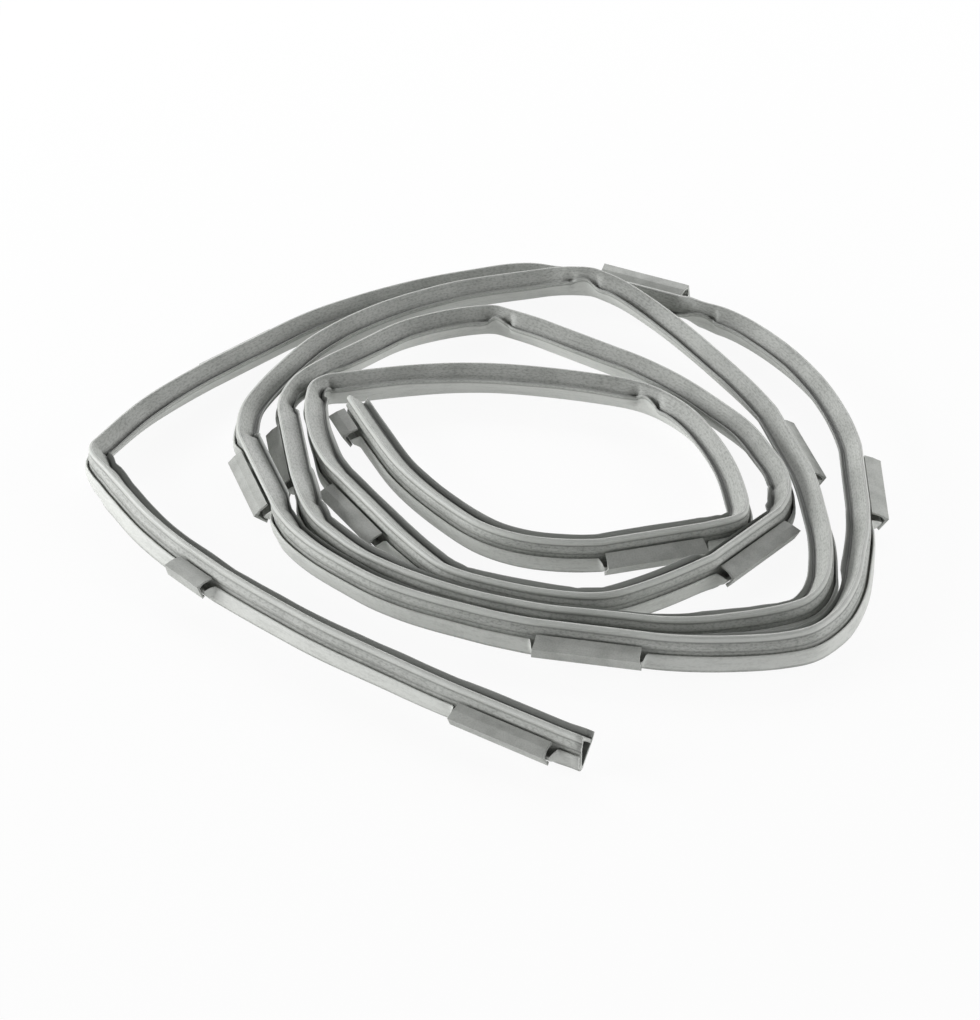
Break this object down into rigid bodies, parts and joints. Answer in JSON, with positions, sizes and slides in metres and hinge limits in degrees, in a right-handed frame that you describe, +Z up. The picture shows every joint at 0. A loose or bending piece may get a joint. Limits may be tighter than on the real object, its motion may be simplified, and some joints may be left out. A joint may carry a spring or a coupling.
{
  "type": "dryer door gasket",
  "caption": "Hollow grey rubber door seal strip with push-on plastic retaining clips, cut ends free, lying loosely coiled on a flat surface.",
  "frame": {"origin": "middle of the floor patch the coiled strip covers, on the surface it lies on", "axes": "+Z up from that surface, +Y away from the picture's viewer, +X to the viewer's right"},
  "size_m": [0.2988, 0.307, 0.0198],
  "materials": {
    "seal_rubber": "matte extruded rubber with a soft sheen",
    "clip_plastic": "matte moulded plastic"
  },
  "bodies": {
    "root": {"seal_strip": "seal_rubber", "clip_01": "clip_plastic", "clip_02": "clip_plastic", "clip_03": "clip_plastic", "clip_04": "clip_plastic", "clip_05": "clip_plastic", "clip_06": "clip_plastic", "clip_07": "clip_plastic", "clip_08": "clip_plastic", "clip_09": "clip_plastic", "clip_10": "clip_plastic", "clip_11": "clip_plastic", "clip_12": "clip_plastic", "clip_13": "clip_plastic", "clip_14": "clip_plastic"}
  },
  "joints": []
}
